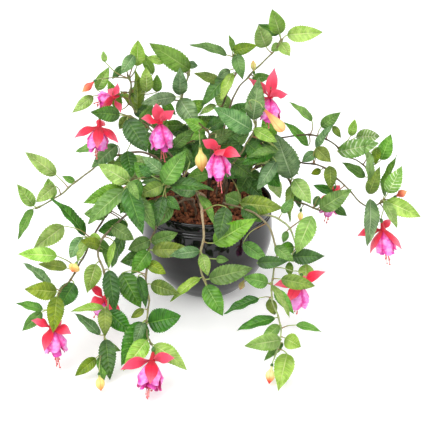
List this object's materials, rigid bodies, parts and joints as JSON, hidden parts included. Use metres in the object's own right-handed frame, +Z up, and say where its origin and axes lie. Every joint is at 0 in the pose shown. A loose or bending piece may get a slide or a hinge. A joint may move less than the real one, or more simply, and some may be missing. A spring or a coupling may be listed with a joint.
{
  "type": "potted trailing plant",
  "caption": "Trailing flowering fuchsia in a round glossy cover pot: wire-cored leafy stems arch out of a bed of clay granules and carry hanging flowers and buds.",
  "frame": {"origin": "middle of the cover pot's flat foot, on the surface it stands on", "axes": "+Z up along the pot's axis, -Y towards the front of the arrangement, +X to the right seen from the front"},
  "size_m": [0.6103, 0.5446, 0.4424],
  "materials": {
    "black_glaze": "gloss",
    "liner_plastic": "matte",
    "cast_weight": "matte",
    "anchor_plastic": "matte",
    "clay": "matte",
    "foliage_mid": "satin",
    "foliage_lime": "satin",
    "foliage_deep": "satin",
    "sepals": "matte",
    "petals": "matte",
    "buds": "satin"
  },
  "bodies": {
    "pot": {"cover_pot": "black_glaze"},
    "planting": {"grow_pot": "liner_plastic", "ballast_weight": "cast_weight", "stem_anchor": "anchor_plastic", "clay_granules": "clay", "stem_right_lower": "foliage_mid", "stem_right_middle": "foliage_mid", "stem_top_centre": "foliage_mid", "stem_top_right_centre": "foliage_mid", "stem_top_left": "foliage_mid", "stem_upper_left": "foliage_mid", "stem_left_crown": "foliage_mid", "stem_left_middle": "foliage_mid", "stem_centre_left": "foliage_deep", "stem_centre": "foliage_mid"},
    "stem_left_upper": {"stem_left_upper": "foliage_lime"},
    "stem_left_lower": {"stem_left_lower": "foliage_mid"},
    "stem_front_left": {"stem_front_left": "foliage_deep"},
    "stem_front_left_centre": {"stem_front_left_centre": "foliage_mid"},
    "stem_front_centre": {"stem_front_centre": "foliage_mid"},
    "stem_front_right": {"stem_front_right": "foliage_mid"},
    "stem_right_long": {"stem_right_long": "foliage_lime"},
    "stem_right_upper": {"stem_right_upper": "foliage_mid"},
    "stem_top_right": {"stem_top_right": "foliage_lime"},
    "stem_rear_left": {"stem_rear_left": "foliage_mid"},
    "stem_rear": {"stem_rear": "foliage_deep"},
    "stem_rear_right": {"stem_rear_right": "foliage_mid"},
    "flower_left": {"flower_left_calyx": "sepals", "flower_left_corolla": "petals"},
    "flower_front_left": {"flower_front_left_calyx": "sepals", "flower_front_left_corolla": "petals"},
    "flower_front_low": {"flower_front_low_calyx": "sepals", "flower_front_low_corolla": "petals"},
    "flower_front_right": {"flower_front_right_calyx": "sepals", "flower_front_right_corolla": "petals"},
    "flower_right_middle": {"flower_right_middle_calyx": "sepals", "flower_right_middle_corolla": "petals"},
    "flower_right": {"flower_right_calyx": "sepals", "flower_right_corolla": "petals"},
    "flower_top_right": {"flower_top_right_calyx": "sepals", "flower_top_right_corolla": "petals"},
    "flower_upper_left": {"flower_upper_left_calyx": "sepals", "flower_upper_left_corolla": "petals"},
    "flower_far_upper_left": {"flower_far_upper_left_calyx": "sepals", "flower_far_upper_left_corolla": "petals"},
    "flower_left_crown": {"flower_left_crown_calyx": "sepals", "flower_left_crown_corolla": "petals"},
    "flower_centre": {"flower_centre_calyx": "sepals", "flower_centre_corolla": "petals"},
    "flower_rear": {"flower_rear_calyx": "sepals", "flower_rear_corolla": "petals"},
    "bud_left": {"bud_left": "buds"},
    "bud_front_left": {"bud_front_left": "buds"},
    "bud_front_right": {"bud_front_right": "buds"},
    "bud_right_middle": {"bud_right_middle": "buds"},
    "bud_far_right": {"bud_far_right": "buds"},
    "bud_top": {"bud_top": "buds"},
    "bud_top_right": {"bud_top_right": "buds"},
    "bud_upper_left": {"bud_upper_left": "buds"},
    "bud_centre": {"bud_centre": "buds"}
  },
  "joints": [
    {"name": "lift_out", "type": "slide", "parent": "pot", "child": "planting", "axis": [0, 0, 1], "range_m": [0, 0.16]},
    {"name": "bend_left_upper", "type": "hinge", "parent": "planting", "child": "stem_left_upper", "pos_m": [-0.04357, 0.00612, 0.1389], "axis": [-0.1669, 0.986, 0], "range_deg": [-3, 4]},
    {"name": "bend_left_lower", "type": "hinge", "parent": "planting", "child": "stem_left_lower", "pos_m": [-0.03994, -0.01298, 0.1389], "axis": [-0.7991, 0.6013, 0], "range_deg": [0, 4]},
    {"name": "bend_front_left", "type": "hinge", "parent": "planting", "child": "stem_front_left", "pos_m": [-0.03195, -0.03309, 0.1389], "axis": [-0.8942, 0.4476, 0], "range_deg": [0, 4]},
    {"name": "bend_front_left_centre", "type": "hinge", "parent": "planting", "child": "stem_front_left_centre", "pos_m": [-0.01648, -0.0408, 0.1389], "axis": [-0.9682, 0.2501, 0], "range_deg": [0, 4]},
    {"name": "bend_front_centre", "type": "hinge", "parent": "planting", "child": "stem_front_centre", "pos_m": [-0.00417, -0.02971, 0.1389], "axis": [-0.9996, -0.0287, 0], "range_deg": [0, 4]},
    {"name": "bend_front_right", "type": "hinge", "parent": "planting", "child": "stem_front_right", "pos_m": [0.022, -0.0381, 0.1389], "axis": [-0.9499, -0.3127, 0], "range_deg": [0, 4]},
    {"name": "bend_right_long", "type": "hinge", "parent": "planting", "child": "stem_right_long", "pos_m": [0.03654, 0.01627, 0.1389], "axis": [-0.1712, -0.9852, 0], "range_deg": [-3, 4]},
    {"name": "bend_right_upper", "type": "hinge", "parent": "planting", "child": "stem_right_upper", "pos_m": [0.03078, 0.03419, 0.1389], "axis": [-0.0188, -0.9998, 0], "range_deg": [-3, 4]},
    {"name": "bend_top_right", "type": "hinge", "parent": "planting", "child": "stem_top_right", "pos_m": [0.01408, 0.02649, 0.1389], "axis": [-0.1295, -0.9916, 0], "range_deg": [-4, 4]},
    {"name": "bend_rear_left", "type": "hinge", "parent": "planting", "child": "stem_rear_left", "pos_m": [-0.01191, 0.04443, 0.1389], "axis": [0.8762, 0.4819, 0], "range_deg": [0, 5]},
    {"name": "bend_rear", "type": "hinge", "parent": "planting", "child": "stem_rear", "pos_m": [0.00383, 0.04383, 0.1389], "axis": [0.9981, -0.0619, 0], "range_deg": [0, 5]},
    {"name": "bend_rear_right", "type": "hinge", "parent": "planting", "child": "stem_rear_right", "pos_m": [0.02438, 0.03901, 0.1389], "axis": [0.8621, -0.5067, 0], "range_deg": [0, 5]},
    {"name": "swing_flower_left", "type": "hinge", "parent": "stem_left_lower", "child": "flower_left", "pos_m": [-0.20664, -0.238, 0.08786], "axis": [0, 1, 0], "range_deg": [-5, 5]},
    {"name": "swing_flower_front_left", "type": "hinge", "parent": "stem_front_left", "child": "flower_front_left", "pos_m": [-0.14053, -0.16, 0.08198], "axis": [0, 1, 0], "range_deg": [-5, 5]},
    {"name": "swing_flower_front_low", "type": "hinge", "parent": "stem_front_left_centre", "child": "flower_front_low", "pos_m": [-0.07087, -0.274, 0.05464], "axis": [0, 1, 0], "range_deg": [-4, 4]},
    {"name": "swing_flower_front_right", "type": "hinge", "parent": "stem_front_right", "child": "flower_front_right", "pos_m": [0.12341, -0.138, 0.09775], "axis": [0, 1, 0], "range_deg": [-6, 6]},
    {"name": "swing_flower_right_middle", "type": "hinge", "parent": "stem_right_long", "child": "flower_right_middle", "pos_m": [0.19689, 0.01, 0.1738], "axis": [0, 1, 0], "range_deg": [-6, 6]},
    {"name": "swing_flower_right", "type": "hinge", "parent": "stem_right_long", "child": "flower_right", "pos_m": [0.26865, -0.028, 0.14558], "axis": [0, 1, 0], "range_deg": [-8, 8]},
    {"name": "swing_flower_top_right", "type": "hinge", "parent": "planting", "child": "flower_top_right", "pos_m": [0.07568, -0.03, 0.33801], "axis": [0, 1, 0], "range_deg": [-5, 5]},
    {"name": "swing_flower_upper_left", "type": "hinge", "parent": "planting", "child": "flower_upper_left", "pos_m": [-0.06934, -0.044, 0.31863], "axis": [0, 1, 0], "range_deg": [-6, 6]},
    {"name": "swing_flower_far_upper_left", "type": "hinge", "parent": "planting", "child": "flower_far_upper_left", "pos_m": [-0.1256, 0.014, 0.31734], "axis": [0, 1, 0], "range_deg": [-5, 5]},
    {"name": "swing_flower_left_crown", "type": "hinge", "parent": "planting", "child": "flower_left_crown", "pos_m": [-0.14177, -0.042, 0.30581], "axis": [0, 1, 0], "range_deg": [-6, 6]},
    {"name": "swing_flower_centre", "type": "hinge", "parent": "planting", "child": "flower_centre", "pos_m": [0.01382, -0.078, 0.2856], "axis": [0, 1, 0], "range_deg": [-7, 7]},
    {"name": "swing_flower_rear", "type": "hinge", "parent": "stem_rear_left", "child": "flower_rear", "pos_m": [-0.1159, 0.155, 0.12123], "axis": [0, -1, 0], "range_deg": [-8, 8]},
    {"name": "swing_bud_left", "type": "hinge", "parent": "stem_left_lower", "child": "bud_left", "pos_m": [-0.17691, -0.148, 0.12239], "axis": [0, 1, 0], "range_deg": [-6, 6]},
    {"name": "swing_bud_front_left", "type": "hinge", "parent": "stem_front_left", "child": "bud_front_left", "pos_m": [-0.14337, -0.271, 0.03214], "axis": [0, 1, 0], "range_deg": [-5, 5]},
    {"name": "swing_bud_front_right", "type": "hinge", "parent": "stem_front_right", "child": "bud_front_right", "pos_m": [0.09274, -0.264, 0.02925], "axis": [0, 1, 0], "range_deg": [-5, 5]},
    {"name": "swing_bud_right_middle", "type": "hinge", "parent": "planting", "child": "bud_right_middle", "pos_m": [0.14548, -0.03, 0.15149], "axis": [0, 1, 0], "range_deg": [-8, 8]},
    {"name": "swing_bud_far_right", "type": "hinge", "parent": "stem_right_long", "child": "bud_far_right", "pos_m": [0.27768, -0.022, 0.1595], "axis": [0, 1, 0], "range_deg": [-8, 8]},
    {"name": "swing_bud_top", "type": "hinge", "parent": "stem_top_right", "child": "bud_top", "pos_m": [0.06988, 0.013, 0.34082], "axis": [0, 1, 0], "range_deg": [-6, 6]},
    {"name": "swing_bud_top_right", "type": "hinge", "parent": "planting", "child": "bud_top_right", "pos_m": [0.06049, -0.062, 0.32931], "axis": [0, 1, 0], "range_deg": [-8, 8]},
    {"name": "swing_bud_upper_left", "type": "hinge", "parent": "planting", "child": "bud_upper_left", "pos_m": [-0.15356, 0.02, 0.33551], "axis": [0, 1, 0], "range_deg": [-8, 8]},
    {"name": "swing_bud_centre", "type": "hinge", "parent": "planting", "child": "bud_centre", "pos_m": [-0.01053, -0.061, 0.28378], "axis": [0, 1, 0], "range_deg": [-6, 6]}
  ]
}
